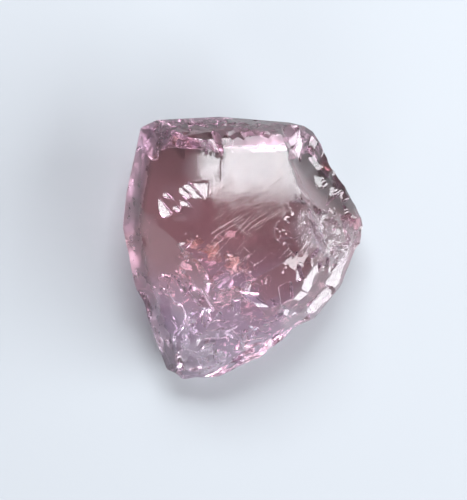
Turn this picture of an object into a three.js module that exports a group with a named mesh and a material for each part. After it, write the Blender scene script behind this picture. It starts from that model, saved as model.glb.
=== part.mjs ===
// Raw pink amethyst: one chunk of pale, clear quartz broken out of a larger crystal.
// Millimetres, +Z up. The stone lies on its broad flat face. Seen from above, its flat end is
// towards +Y and its narrow tip towards -Y. The origin is on the resting face, below the middle of
// the box round the stone.
//
// The stone is described by its faces. Each one is a function that tells how far a point lies
// outside it: flat faces, a dome, a stepped bulge, and the scars of flakes that blows took off. A
// fine ball is then let down along its own rays until each corner meets the first of those faces,
// and corners next to a ridge are moved onto it, so that the ridges are sharp.

import * as THREE from "three";
import { mergeVertices } from "three/addons/utils/BufferGeometryUtils.js";

// ---------------------------------------------------------------- driving dimensions

const HEART = new THREE.Vector3(0, -0.5, 8); // a point inside, which every face can be seen from
const PROPORTIONS = [1.1, 1.2, 0.75]; // of the ball that the skin is made from
const DETAIL = 20; // its fineness: 20 * (DETAIL + 1)^2 triangles
const FAR = 40; // a distance well outside the stone
const FINE = 1e-5; // how exactly the skin is found
const AROUND = 0.5; // how far round a point its facing is felt for
const SEED = 11; // for the small chips, so that the stone is the same each time

// The rim, clockwise from the upper left. Each corner has its place in plan and its height above
// the resting face. The facet that runs from it to the next corner leans in by `above` degrees from
// upright over the rim, and by `below` degrees under it.
const RIM = [
  { x: -13.4, y: 16.1, z: 7.5, above: 38, below: 24 },
  { x: -11.2, y: 17.0, z: 8.5, above: 30, below: 22 },
  { x: -3.0, y: 17.3, z: 10.0, above: 22, below: 26 },
  { x: 6.0, y: 16.6, z: 9.5, above: 24, below: 24 },
  { x: 9.3, y: 15.9, z: 8.5, above: 34, below: 22 },
  { x: 11.1, y: 13.3, z: 8.0, above: 36, below: 26 },
  { x: 15.3, y: 5.6, z: 7.0, above: 32, below: 28 },
  { x: 15.8, y: 3.2, z: 6.5, above: 26, below: 30 },
  { x: 15.3, y: 0.0, z: 6.5, above: 24, below: 30 },
  { x: 13.3, y: -4.2, z: 7.0, above: 22, below: 26 },
  { x: 9.7, y: -8.7, z: 7.0, above: 24, below: 24 },
  { x: 2.4, y: -14.1, z: 6.5, above: 34, below: 26 },
  { x: -3.2, y: -16.7, z: 6.0, above: 44, below: 24 },
  { x: -8.0, y: -17.5, z: 5.0, above: 42, below: 24 },
  { x: -10.1, y: -15.8, z: 5.0, above: 40, below: 28 },
  { x: -14.3, y: -4.4, z: 6.5, above: 38, below: 30 },
  { x: -15.8, y: 3.0, z: 7.0, above: 34, below: 30 },
  { x: -15.3, y: 7.4, z: 7.5, above: 36, below: 26 },
];

// The frosted natural face in the middle of the flat end, through three points. Left of `edge`, and
// there in front of `front` too, it curls down into the smooth dome of radius `curl`.
const FROSTED = {
  points: [[-2.6, 13.6, 14.4], [4.1, 14.8, 14.4], [3.0, 0.0, 17.7]],
  edge: -3.4,
  front: -1.5,
  curl: 8.6,
};

// The other broad faces of the top, each through three points.
const TOP_FACES = [
  // the greyish strip along the upper left
  [[-14.4, 8.1, 9.0], [-9.4, 16.6, 11.1], [-13.4, 16.1, 7.7]],
  // the lower middle, below the curved edge of the frosted face
  [[-3.4, -5.6, 18.0], [1.4, -5.2, 18.3], [-1.0, -12.0, 11.9]],
  // the end of the tip
  [[-3.4, -13.0, 10.4], [-7.6, -14.0, 8.2], [-4.6, -16.6, 5.9]],
];

// The bulge of the lower right: a ball round this point, stepped in ledges along its slope.
const BULGE = {
  at: [-3.3, 7.3, 0.5],
  radius: 21.4,
  from: -72,
  to: 4,
  ledge: 0.9,
  pitch: 2.2,
  first: 12.7,
  drift: 0.04, // how much nearer the ledges run to the middle with each degree of heading
  wave: 0.18, // how far they wander, in ledges
  fade: 14, // degrees over which they end
};

// The window scar left of the frosted face: a flat floor with a wall on its right and a jagged
// step, the dark line, along its lower edge.
const WINDOW = {
  floor: [[-3.0, 9.4, 14.2], [-3.6, 14.4, 13.4], [-12.0, 10.0, 9.9]],
  right: { x: -2.7, lean: 30 },
  step: { y: 8.7, lean: 28, jag: 0.35, pitch: 3.1 },
};

// The steep band right of the frosted face, which drops from this ridge.
const BAND = { from: [4.6, 16.3, 13.7], to: [7.7, 6.5, 16.4], lean: 32 };

// Shell-shaped scars. Each lies `deep` under the broad faces where a line from the heart towards
// `aim` leaves them. `bowl` is the radius of its hollow. Ripples of height `ring` run every `pitch`
// round the point `blow`.
const SCARS = [
  // the brown-tinged hollow right of the frosted face, and the small one above it
  { aim: [10.6, 10.4, 11.6], deep: 1.5, bowl: 13, ring: 0.22, pitch: 3.0, blow: [7, 17, 14] },
  { aim: [8.9, 14.4, 11.8], deep: 0.7, bowl: 6 },
  // the rough right shoulder
  { aim: [11.4, 2.8, 12.6], deep: 1.3, bowl: 11, ring: 0.2, pitch: 2.6, blow: [15, 8, 9] },
  // the scoop under the curved edge, and those that run down to the tip
  { aim: [0.6, -8.4, 15.4], deep: 0.7, bowl: 6, ring: 0.2, pitch: 2.6, blow: [5, -11, 11] },
  { aim: [-5.6, -8.2, 14.8], deep: 0.7, bowl: 7.5, ring: 0.16, pitch: 2.4, blow: [-9, -5, 13] },
  { aim: [-2.2, -12.6, 11.0], deep: 0.7, bowl: 5, ring: 0.14, pitch: 2.2, blow: [2, -15, 8] },
  { aim: [-9.6, -9.4, 10.2], deep: 0.6, bowl: 7, ring: 0.16, pitch: 2.4, blow: [-13, -5, 8] },
  { aim: [-7.2, -15.0, 7.4], deep: 0.5, bowl: 4 },
  // the dent in the left outline, and the one in the lower right outline
  { aim: [-13.0, -7.4, 7.0], deep: 0.7, bowl: 4 },
  { aim: [6.4, -11.0, 7.6], deep: 0.7, bowl: 4 },
  // flakes off the flanks
  { aim: [-14, -1, 2.6], deep: 0.6, bowl: 8, ring: 0.18, pitch: 2.8, blow: [-14, -7, 1] },
  { aim: [-14, 11, 2.8], deep: 0.6, bowl: 9, ring: 0.18, pitch: 2.8, blow: [-15, 4, 8] },
  { aim: [-4, 16, 3.6], deep: 0.8, bowl: 10, ring: 0.18, pitch: 3.0, blow: [2, 16, 9] },
  { aim: [8, 13, 3.0], deep: 0.7, bowl: 8, ring: 0.16, pitch: 2.6, blow: [12, 10, 7] },
  { aim: [14, 3, 2.4], deep: 0.6, bowl: 8, ring: 0.18, pitch: 2.8, blow: [14, -3, 7] },
  { aim: [9, -6, 2.6], deep: 0.7, bowl: 9, ring: 0.18, pitch: 2.8, blow: [4, -12, 6] },
  { aim: [0, -13, 2.4], deep: 0.6, bowl: 7, ring: 0.16, pitch: 2.6, blow: [6, -9, 5] },
  { aim: [-10, -11, 1.8], deep: 0.5, bowl: 6, ring: 0.16, pitch: 2.6, blow: [-8, -16, 4] },
  // hollows in the resting face, which leave it flat lands to stand on
  { aim: [-5.2, 6.0, 0], deep: 1.5, bowl: 9, ring: 0.2, pitch: 2.8, blow: [-1, 10, 0] },
  { aim: [5.0, 5.6, 0], deep: 1.2, bowl: 8, ring: 0.2, pitch: 2.8, blow: [8, 2, 0] },
  { aim: [1.6, -3.4, 0], deep: 1.3, bowl: 8, ring: 0.2, pitch: 2.8, blow: [-3, -5, 0] },
  { aim: [-5.6, -6.2, 0], deep: 1.0, bowl: 7, ring: 0.18, pitch: 2.6, blow: [-2, -9, 0] },
];

// Small chips: along lines in plan on the top, or along the whole rim.
const CHIPS = [
  // the crumbled band along the flat end
  { along: [[-12, 14.8], [-9, 15.6], [-4, 15.7], [-3.2, 14]], count: 30, bowl: 1.2, deep: 0.24, stray: 0.5 },
  { along: [[-3, 15.7], [4.2, 15.3], [7.6, 14.6]], count: 20, bowl: 1.0, deep: 0.18, stray: 0.45 },
  // the ridges of the frosted face
  { along: [[4.4, 15.6], [5.8, 12.0], [7.2, 7.6]], count: 9, bowl: 0.9, deep: 0.08, stray: 0.15 },
  { along: [[-3.4, -5.4], [1.3, -4.8], [5.1, -2.4], [7, 0]], count: 9, bowl: 1.2, deep: 0.1, stray: 0.2 },
  // the hackle on the right shoulder
  { along: [[6.6, 4.4], [13.6, 1.0]], count: 60, bowl: 1.3, deep: 0.16, stray: 2.3 },
  // the lower right, between the ledges
  { along: [[12.4, -2.0], [8.0, -6.4], [3.2, -10.6]], count: 14, bowl: 2.0, deep: 0.1, stray: 1.9 },
  // the tip and the lower left
  { along: [[-1.4, -13.6], [-6.6, -15.4], [-9.0, -12.0]], count: 20, bowl: 2.0, deep: 0.14, stray: 1.3 },
  { along: [[-13.6, 1.0], [-12.6, -4.0], [-10.8, -8.0]], count: 12, bowl: 2.4, deep: 0.1, stray: 0.9 },
];
const RIM_CHIPS = { count: 80, bowl: 2.4, deep: 0.07, low: 4.5, high: 9.5, out: 15 };

// ---------------------------------------------------------------- helpers

const UP = new THREE.Vector3(0, 0, 1);
const rad = THREE.MathUtils.degToRad;
const vector = (p) => new THREE.Vector3(...p);

// The same run of numbers each time.
let state = SEED;
function chance(low = 0, high = 1) {
  state = (state * 1664525 + 1013904223) % 4294967296;
  return low + ((high - low) * state) / 4294967296;
}

// How far a point lies outside a plane.
function plane(at, normal) {
  const level = normal.dot(at);
  return (p) => normal.dot(p) - level;
}

// The upward normal of the plane through three points.
function normalOf(points) {
  const [a, b, c] = points.map(vector);
  const normal = b.sub(a).cross(c.sub(a)).normalize();
  return normal.z < 0 ? normal.negate() : normal;
}

// ---------------------------------------------------------------- the faces

const faces = [plane(new THREE.Vector3(), UP.clone().negate())];

function addRim() {
  RIM.forEach((corner, i) => {
    const next = RIM[(i + 1) % RIM.length];
    const from = new THREE.Vector3(corner.x, corner.y, corner.z);
    const edge = new THREE.Vector3(next.x, next.y, next.z).sub(from);
    const out = new THREE.Vector3(-edge.y, edge.x, 0).normalize();
    for (const [lean, side] of [[corner.above, 1], [corner.below, -1]]) {
      const slope = UP.clone().multiplyScalar(side * Math.cos(rad(lean)));
      slope.addScaledVector(out, -Math.sin(rad(lean)));
      const normal = slope.cross(edge).normalize();
      faces.push(plane(from, normal.dot(out) < 0 ? normal.negate() : normal));
    }
  });
}

function addFrostedFace() {
  const flat = plane(vector(FROSTED.points[0]), normalOf(FROSTED.points));
  faces.push((p) => {
    const left = Math.max(0, FROSTED.edge - p.x);
    const ahead = Math.max(0, FROSTED.front - p.y) * THREE.MathUtils.smoothstep(-p.x, 0, 6);
    return flat(p) + (left * left + ahead * ahead) / (2 * FROSTED.curl);
  });
}

function addBulge() {
  const middle = vector(BULGE.at);
  faces.push((p) => {
    const heading = THREE.MathUtils.radToDeg(Math.atan2(p.y - middle.y, p.x - middle.x));
    const inside = THREE.MathUtils.smoothstep(heading, BULGE.from - BULGE.fade, BULGE.from);
    const stepped = inside * (1 - THREE.MathUtils.smoothstep(heading, BULGE.to, BULGE.to + BULGE.fade));
    const out = Math.hypot(p.x - middle.x, p.y - middle.y) + BULGE.drift * heading;
    const along = (out - BULGE.first) / BULGE.pitch + BULGE.wave * Math.sin(9 * rad(heading));
    const ledge = along > 0 ? BULGE.ledge * (along - Math.floor(along)) : 0;
    // outside its own sector the bulge takes nothing off
    return p.distanceTo(middle) - BULGE.radius - FAR * (1 - inside) - stepped * ledge;
  });
}

function addWindow() {
  const floor = plane(vector(WINDOW.floor[0]), normalOf(WINDOW.floor));
  const wall = (lean, x, y) => new THREE.Vector3(x, y, Math.tan(rad(lean))).normalize();
  const right = wall(WINDOW.right.lean, -1, 0);
  const step = wall(WINDOW.step.lean, 0, 1);
  const level = WINDOW.floor[0][2];
  faces.push((p) => {
    const jag = WINDOW.step.jag * Math.abs(((p.x / WINDOW.step.pitch) % 1) * 2 + 1);
    const fromRight = right.x * (p.x - WINDOW.right.x) + right.z * (p.z - level);
    const fromStep = step.y * (p.y - WINDOW.step.y - jag) + step.z * (p.z - level);
    return Math.min(floor(p), fromRight, fromStep);
  });
}

function addBand() {
  const from = vector(BAND.from);
  const edge = vector(BAND.to).sub(from);
  const out = new THREE.Vector3(-edge.y, edge.x, 0).normalize();
  const down = UP.clone().multiplyScalar(-Math.cos(rad(BAND.lean)));
  down.addScaledVector(out, Math.sin(rad(BAND.lean)));
  const normal = edge.cross(down).normalize();
  faces.push(plane(from, normal.dot(out) < 0 ? normal.negate() : normal));
}

// Where a line from `start` along a way leaves the stone, when only some faces count.
function skinOf(some, way, start = HEART) {
  let low = 0;
  let high = FAR;
  const p = new THREE.Vector3();
  while (high - low > FINE) {
    const middle = (low + high) / 2;
    p.copy(start).addScaledVector(way, middle);
    if (some.some((outside) => outside(p) > 0)) high = middle;
    else low = middle;
  }
  return start.clone().addScaledVector(way, low);
}

// The way that the skin faces round a point, over an edge too, when only some faces count.
function facingAt(point, some) {
  const outside = (p) => Math.max(...some.map((face) => face(p)));
  const slope = [[1, 0, 0], [0, 1, 0], [0, 0, 1]].map((axis) => {
    const step = vector(axis).multiplyScalar(AROUND);
    return outside(point.clone().add(step)) - outside(point.clone().sub(step));
  });
  return vector(slope).normalize();
}

// The hollow that a ball leaves, sunk `deep` in the skin of some faces where `way` meets it. `lean`
// tells how far the blow came from the side.
function hollow({ way, deep, bowl, lean = [0, 0, 0], ring = 0, pitch = 1, blow = [0, 0, 0] }, some) {
  const skin = skinOf(some, way);
  const out = facingAt(skin, some).add(vector(lean)).normalize();
  const middle = skin.addScaledVector(out, bowl - deep);
  const struck = vector(blow);
  return (p) => {
    const off = p.distanceTo(middle);
    if (off > bowl + ring) return -FAR;
    return bowl - off + (ring / 2) * Math.cos((2 * Math.PI * p.distanceTo(struck)) / pitch);
  };
}

function addScars() {
  const broad = [...faces];
  for (const { aim, ...shape } of SCARS) {
    faces.push(hollow({ way: vector(aim).sub(HEART).normalize(), ...shape }, broad));
  }
}

// A chip where a way meets the skin, of about the given size.
function chip(way, { bowl, deep }, broad) {
  const size = chance(0.6, 1.5);
  const lean = [chance(-0.3, 0.3), chance(-0.3, 0.3), chance(-0.3, 0.3)];
  return hollow({ way, lean, deep: deep * size, bowl: bowl * size }, broad);
}

function addChips() {
  const broad = [...faces];
  for (const { along, count, stray, ...shape } of CHIPS) {
    const line = new THREE.CurvePath();
    for (let i = 1; i < along.length; i++) {
      line.add(new THREE.LineCurve(new THREE.Vector2(...along[i - 1]), new THREE.Vector2(...along[i])));
    }
    for (let i = 0; i < count; i++) {
      const { x, y } = line.getPointAt((i + chance()) / count);
      const below = new THREE.Vector3(x + chance(-stray, stray), y + chance(-stray, stray), HEART.z);
      faces.push(chip(skinOf(broad, UP, below).sub(HEART).normalize(), shape, broad));
    }
  }
  for (let i = 0; i < RIM_CHIPS.count; i++) {
    const heading = (2 * Math.PI * (i + chance())) / RIM_CHIPS.count;
    const rise = (chance(RIM_CHIPS.low, RIM_CHIPS.high) - HEART.z) / RIM_CHIPS.out;
    const way = new THREE.Vector3(Math.cos(heading), Math.sin(heading), rise).normalize();
    faces.push(chip(way, RIM_CHIPS, broad));
  }
}

addRim();
addFrostedFace();
for (const points of TOP_FACES) faces.push(plane(vector(points[0]), normalOf(points)));
addBulge();
addWindow();
addBand();
addScars();
addChips();

// ---------------------------------------------------------------- the skin

// The face that a point on the skin lies on.
const faceAt = (p) => {
  const off = faces.map((outside) => outside(p));
  return off.indexOf(Math.max(...off));
};

// Moves each corner that has a ridge within half an edge of it onto that ridge.
function sharpen(ways, corners) {
  const points = ways.map((way) => skinOf(faces, way));
  const owner = points.map(faceAt);
  const nearest = ways.map(() => ({ share: 0.5, towards: null }));
  for (let t = 0; t < corners.length; t += 3) {
    for (const [i, k] of [[0, 1], [1, 2], [2, 0]]) {
      const a = corners[t + i];
      const b = corners[t + k];
      if (owner[a] === owner[b]) continue;
      const fromA = -faces[owner[b]](points[a]);
      const fromB = -faces[owner[a]](points[b]);
      if (!(fromA >= 0 && fromB >= 0 && fromA + fromB > 0 && fromA + fromB < 5)) continue;
      const share = fromA / (fromA + fromB);
      if (share < nearest[a].share) nearest[a] = { share, towards: b };
      if (1 - share < nearest[b].share) nearest[b] = { share: 1 - share, towards: a };
    }
  }
  return ways.map((way, i) => {
    const { share, towards } = nearest[i];
    return towards === null ? way : way.clone().lerp(ways[towards], share).normalize();
  });
}

function makeStone() {
  const ball = new THREE.IcosahedronGeometry(1, DETAIL).scale(...PROPORTIONS);
  ball.deleteAttribute("normal");
  ball.deleteAttribute("uv");
  const skin = mergeVertices(ball, 1e-4);
  const place = skin.getAttribute("position");
  const rays = Array.from({ length: place.count }, (_, i) => {
    return new THREE.Vector3().fromBufferAttribute(place, i).normalize();
  });
  sharpen(rays, skin.index.array).forEach((way, i) => place.setXYZ(i, ...skinOf(faces, way)));
  skin.computeBoundingBox();
  const middle = skin.boundingBox.getCenter(new THREE.Vector3());
  return skin.translate(-middle.x, -middle.y, -skin.boundingBox.min.z);
}

const amethyst = new THREE.Mesh(
  makeStone(),
  new THREE.MeshStandardMaterial({ color: 0xc4a3b6, roughness: 0.08, metalness: 0 }),
);
amethyst.name = "amethyst";

const part = new THREE.Group();
part.add(amethyst);
export default part;
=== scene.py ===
# %% [markdown]
# # A raw pink amethyst
#
# The real thing is a chunk of clear quartz, faintly pink, that broke out of a larger crystal. One
# face still has the frosted skin it grew with. All the others are fractures: shell-shaped hollows
# with ripples, stepped ledges and patches of rough hackle. This lesson makes its skin with numpy,
# as a very fine ball that is let down onto many faces, and then gives it a glass that absorbs
# light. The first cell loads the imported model, whose frame every later cell works in.

# %% Load the frame
import math

import bpy
import numpy as np
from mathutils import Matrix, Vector


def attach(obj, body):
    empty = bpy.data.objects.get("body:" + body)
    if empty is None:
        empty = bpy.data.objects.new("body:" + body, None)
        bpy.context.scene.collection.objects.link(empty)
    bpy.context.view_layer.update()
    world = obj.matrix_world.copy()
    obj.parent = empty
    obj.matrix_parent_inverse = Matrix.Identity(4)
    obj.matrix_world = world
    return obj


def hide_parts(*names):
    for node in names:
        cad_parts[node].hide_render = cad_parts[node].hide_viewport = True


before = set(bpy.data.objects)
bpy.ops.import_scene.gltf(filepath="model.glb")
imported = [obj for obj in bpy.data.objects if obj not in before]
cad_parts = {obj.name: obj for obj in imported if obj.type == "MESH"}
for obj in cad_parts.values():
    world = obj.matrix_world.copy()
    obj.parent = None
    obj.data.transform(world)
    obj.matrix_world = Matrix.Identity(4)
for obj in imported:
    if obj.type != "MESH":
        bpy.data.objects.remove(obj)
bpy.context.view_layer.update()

MM = 0.001

# %% [markdown]
# ## The camera
#
# The camera looks straight down on the stone from 220 mm over its middle. Its lens is worked out
# from the size of the picture, so that a millimetre on the stone has a known number of pixels.

# %% The camera
PICTURE = (467, 500)  # pixels
PIXEL = 0.131 * MM  # size of a pixel at the stone's middle height
MIDDLE_HEIGHT = 8 * MM
CAMERA_RISE = 220 * MM
STONE_CENTRE = (243.0, 249.5)  # pixels, where the stone's own origin comes in the picture


def make_camera():
    data = bpy.data.cameras.new("camera")
    data.sensor_width = 36.0
    data.lens = data.sensor_width * CAMERA_RISE / (max(PICTURE) * PIXEL)
    camera = bpy.data.objects.new("camera", data)
    bpy.context.scene.collection.objects.link(camera)
    camera.location = (
        (PICTURE[0] / 2 - STONE_CENTRE[0]) * PIXEL,
        (STONE_CENTRE[1] - PICTURE[1] / 2) * PIXEL,
        MIDDLE_HEIGHT + CAMERA_RISE,
    )
    bpy.context.scene.camera = camera
    return camera


camera = make_camera()
place = [round(v / MM, 1) for v in camera.location]
print("lens", round(camera.data.lens, 1), "mm, camera at", place)

# %% [markdown]
# ## The faces of the stone
#
# The tables below describe the stone in millimetres, in the same way as its solid: the rim with its
# facets, the broad faces of the top, a stepped bulge, the window scar and the shell-shaped scars.
# Each face becomes a function that tells how far a point lies outside it.

# %% Driving dimensions
HEART = np.array([0.0, -0.5, 8.0])  # a point inside, which every face can be seen from
PROPORTIONS = np.array([1.1, 1.2, 0.75])  # of the ball that the skin is made from
TOWARDS = np.array([0.12, 0.0, 0.2])  # shifts the ball, which makes its corners denser that way
DETAIL = 94  # the ball's fineness: 20 * DETAIL ** 2 triangles
FAR = 40.0  # mm, past every face
FINE = 1e-5  # mm, how closely the skin is found
AROUND = 0.5  # mm each way, over which the way that the skin faces is measured
SEED = 11

# x, y and z of each corner, clockwise from the upper left, and how far the facet from it to the
# next one leans in from upright, over the rim and under it
RIM = [
    (-13.4, 16.1, 7.5, 38, 24),
    (-11.2, 17.0, 8.5, 30, 22),
    (-3.0, 17.3, 10.0, 22, 26),
    (6.0, 16.6, 9.5, 24, 24),
    (9.3, 15.9, 8.5, 34, 22),
    (11.1, 13.3, 8.0, 36, 26),
    (15.3, 5.6, 7.0, 32, 28),
    (15.8, 3.2, 6.5, 26, 30),
    (15.3, 0.0, 6.5, 24, 30),
    (13.3, -4.2, 7.0, 22, 26),
    (9.7, -8.7, 7.0, 24, 24),
    (2.4, -14.1, 6.5, 34, 26),
    (-3.2, -16.7, 6.0, 44, 24),
    (-8.0, -17.5, 5.0, 42, 24),
    (-10.1, -15.8, 5.0, 40, 28),
    (-14.3, -4.4, 6.5, 38, 30),
    (-15.8, 3.0, 7.0, 34, 30),
    (-15.3, 7.4, 7.5, 36, 26),
]

FROSTED = {
    "points": [(-2.6, 13.6, 14.4), (4.1, 14.8, 14.4), (3.0, 0.0, 17.7)],
    "edge": -3.4,
    "high edge": -6.4,
    "between": (3.5, 8.0),
    "front": -1.5,
    "curl": 8.6,
}

TOP_FACES = {
    "upper left strip": [(-14.4, 8.1, 9.0), (-9.4, 16.6, 11.1), (-13.4, 16.1, 7.7)],
    "lower middle": [(-3.4, -5.6, 18.0), (1.4, -5.2, 18.3), (-1.0, -12.0, 11.9)],
    "end of the tip": [(-3.4, -13.0, 10.4), (-7.6, -14.0, 8.2), (-4.6, -16.6, 5.9)],
    "bevel over the frosted face": [(-2.6, 14.2, 14.27), (4.4, 14.7, 14.43), (0.9, 16.4, 12.9)],
}

BULGE = {
    "at": (-3.3, 7.3, 0.5),
    "radius": 21.4,
    "from": -72,
    "to": 4,
    "ledge": 0.9,
    "pitch": 2.2,
    "first": 12.7,
    "drift": 0.04,
    "wave": 0.18,
    "fade": 14,
}

WINDOW = {
    "level": 14.2,
    "sunk": 0.05,
    "edge": -2.8,
    "curve": 26.0,
    "bend": {"x": -8.5, "curve": 7.0},
    "back": {"y": 12.0, "curve": 18.0},
    "right": {"x": -2.8, "lean": 70},
    "step": {"y": 8.7, "lean": 14, "jag": 0.35, "pitch": 3.1},
    "tooth": {"from": (-3.2, 11.6), "to": (-6.4, 15.6), "lean": 30},
}

BAND = {"from": (4.6, 16.3, 13.7), "to": (7.7, 6.5, 16.4), "lean": 32}

# aim, deep and bowl of each shell-shaped scar, and for a rippled one its ring, pitch and blow
SCARS = [
    ((10.6, 10.4, 11.6), 1.5, 13, 0.22, 3.0, (7, 17, 14)),
    ((8.9, 14.4, 11.8), 0.7, 6),
    ((11.4, 2.8, 12.6), 1.3, 11, 0.2, 2.6, (15, 8, 9)),
    ((0.6, -8.4, 15.4), 0.7, 6, 0.2, 2.6, (5, -11, 11)),
    ((-5.6, -8.2, 14.8), 0.7, 7.5, 0.16, 2.4, (-9, -5, 13)),
    ((-2.2, -12.6, 11.0), 0.7, 5, 0.14, 2.2, (2, -15, 8)),
    ((-9.6, -9.4, 10.2), 0.6, 7, 0.16, 2.4, (-13, -5, 8)),
    ((-7.2, -15.0, 7.4), 0.5, 4),
    ((-13.0, -7.4, 7.0), 0.7, 4),
    ((6.4, -11.0, 7.6), 0.7, 4),
    ((-14, -1, 2.6), 0.6, 8, 0.18, 2.8, (-14, -7, 1)),
    ((-14, 11, 2.8), 0.6, 9, 0.18, 2.8, (-15, 4, 8)),
    ((-4, 16, 3.6), 0.8, 10, 0.18, 3.0, (2, 16, 9)),
    ((8, 13, 3.0), 0.7, 8, 0.16, 2.6, (12, 10, 7)),
    ((14, 3, 2.4), 0.6, 8, 0.18, 2.8, (14, -3, 7)),
    ((9, -6, 2.6), 0.7, 9, 0.18, 2.8, (4, -12, 6)),
    ((0, -13, 2.4), 0.6, 7, 0.16, 2.6, (6, -9, 5)),
    ((-10, -11, 1.8), 0.5, 6, 0.16, 2.6, (-8, -16, 4)),
    ((-1.5, 2.0, 0), 0.8, 50),
    ((-5.6, -7.6, 0), 0.7, 8, 0.12, 2.6, (-2, -9, 0)),
]

# corners in plan, count, bowl, deep and stray of each run of chips
CHIPS = [
    ([(-11, 15.2), (-9, 15.6), (-4, 15.7)], 20, 0.9, 0.07, 0.4),
    ([(-3, 15.7), (4.2, 15.3)], 20, 0.9, 0.08, 0.45),
    ([(-3.4, -5.4), (1.3, -4.8), (5.1, -2.4), (7, 0)], 9, 1.2, 0.1, 0.2),
    ([(12.4, -2.0), (8.0, -6.4), (3.2, -10.6)], 14, 2.0, 0.1, 1.9),
    ([(-1.4, -13.6), (-6.6, -15.4), (-9.0, -12.0)], 20, 2.0, 0.14, 1.3),
    ([(-13.6, 1.0), (-12.6, -4.0), (-10.8, -8.0)], 9, 3.0, 0.03, 0.9),
]
UNDERSIDE = {
    "count": 60,
    "centre": (-3.0, -9.5),
    "along": 8.0,
    "across": 6.0,
    "turn": -75,
    "bowl": (2.6, 7.0),
    "deep": (0.12, 0.5),
    "lands": [
        (-4.6, -0.6), (7.6, -3.4), (7.0, 11.0), (-8.6, 11.6), (-5.6, -12.6), (-11.2, -3.0),
    ],
    "keep": 1.1,
    "calm": (-5.0, 0.15),  # over this y the scars are this much as deep
}
RIM_CHIPS = {"count": 60, "bowl": 2.4, "deep": 0.04, "low": 4.0, "high": 7.5, "out": 15}
print(len(RIM), "rim corners,", len(SCARS), "scars,", len(CHIPS), "runs of chips")

# %% [markdown]
# ## Small tools
#
# Points are rows of numpy arrays, so that one call measures the whole skin. The random numbers come
# from a short formula with a fixed seed, so the stone is the same on every run.

# %% Helpers
FACTOR, OFFSET, WRAP = 1664525, 1013904223, 2**32  # of the formula for random numbers
state = SEED


def chance(low=0.0, high=1.0):
    global state
    state = (state * FACTOR + OFFSET) % WRAP
    return low + (high - low) * state / WRAP


def unit(v):
    return v / np.linalg.norm(v, axis=-1, keepdims=True)


def smoothstep(x, low, high):
    t = np.clip((x - low) / (high - low), 0, 1)
    return t * t * (3 - 2 * t)


def plane(at, normal):
    level = np.dot(at, normal)
    return lambda p: p @ normal - level


def normal_of(points):
    a, b, c = np.array(points, dtype=float)
    normal = unit(np.cross(b - a, c - a))
    return -normal if normal[2] < 0 else normal


def plane_through(points):
    return plane(np.array(points[0], dtype=float), normal_of(points))


# %% Broad faces
def rim_faces():
    for i, (x, y, z, above, below) in enumerate(RIM):
        start = np.array([x, y, z])
        edge = np.array(RIM[(i + 1) % len(RIM)][:3]) - start
        out = unit(np.array([-edge[1], edge[0], 0.0]))
        for lean, side in ((above, 1), (below, -1)):
            a = math.radians(lean)
            slope = np.array([0, 0, side * math.cos(a)]) - out * math.sin(a)
            normal = unit(np.cross(slope, edge))
            yield plane(start, -normal if normal @ out < 0 else normal)


def frosted_face():
    flat = plane_through(FROSTED["points"])

    def outside(p):
        higher = smoothstep(p[:, 1], *FROSTED["between"])
        edge = FROSTED["edge"] + (FROSTED["high edge"] - FROSTED["edge"]) * higher
        left = np.maximum(0, edge - p[:, 0])
        ahead = np.maximum(0, FROSTED["front"] - p[:, 1]) * smoothstep(-p[:, 0], 0, 6)
        return flat(p) + (left**2 + ahead**2) / (2 * FROSTED["curl"])

    return outside


def bulge():
    middle = np.array(BULGE["at"])

    def outside(p):
        off = p - middle
        angle = np.arctan2(off[:, 1], off[:, 0])
        heading = np.degrees(angle)
        inside = smoothstep(heading, BULGE["from"] - BULGE["fade"], BULGE["from"])
        stepped = inside * (1 - smoothstep(heading, BULGE["to"], BULGE["to"] + BULGE["fade"]))
        out = np.hypot(off[:, 0], off[:, 1]) + BULGE["drift"] * heading
        along = (out - BULGE["first"]) / BULGE["pitch"] + BULGE["wave"] * np.sin(9 * angle)
        ledge = np.where(along > 0, BULGE["ledge"] * (along - np.floor(along)), 0)
        round_off = np.linalg.norm(off, axis=1) - BULGE["radius"]
        return round_off - FAR * (1 - inside) - stepped * ledge

    return outside


def window():
    flat = plane_through(FROSTED["points"])
    right, step, tooth = WINDOW["right"], WINDOW["step"], WINDOW["tooth"]
    right_normal = unit(np.array([-1, 0, math.tan(math.radians(right["lean"]))]))
    step_normal = unit(np.array([0, 1, math.tan(math.radians(step["lean"]))]))
    start = np.array([*tooth["from"], 0.0])
    edge = np.array([*tooth["to"], 0.0]) - start
    tooth_out = unit(np.array([-edge[1], edge[0], 0.0]))
    tooth_normal = unit(tooth_out + [0, 0, math.tan(math.radians(tooth["lean"]))])

    def outside(p):
        left = np.maximum(0, WINDOW["edge"] - p[:, 0])
        beyond = np.maximum(0, WINDOW["bend"]["x"] - p[:, 0])
        fall = left**2 / (2 * WINDOW["curve"]) + beyond**2 / (2 * WINDOW["bend"]["curve"])
        rising = np.maximum(0, p[:, 1] - WINDOW["back"]["y"]) ** 2 / (2 * WINDOW["back"]["curve"])
        floor = flat(p) + WINDOW["sunk"] + fall - rising
        jag = step["jag"] * np.abs(np.fmod(p[:, 0] / step["pitch"], 1) * 2 + 1)
        rise = p[:, 2] - WINDOW["level"]
        from_right = right_normal[0] * (p[:, 0] - right["x"]) + right_normal[2] * flat(p)
        from_step = step_normal[1] * (p[:, 1] - step["y"] - jag) + step_normal[2] * rise
        off = p[:, :2] - start[:2]
        from_tooth = off @ tooth_normal[:2] + tooth_normal[2] * rise
        return np.minimum(np.minimum(floor, from_right), np.minimum(from_step, from_tooth))

    return outside


def band():
    start = np.array(BAND["from"])
    edge = np.array(BAND["to"]) - start
    out = unit(np.array([-edge[1], edge[0], 0.0]))
    a = math.radians(BAND["lean"])
    normal = unit(np.cross(edge, np.array([0, 0, -math.cos(a)]) + out * math.sin(a)))
    return plane(start, -normal if normal @ out < 0 else normal)


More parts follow.
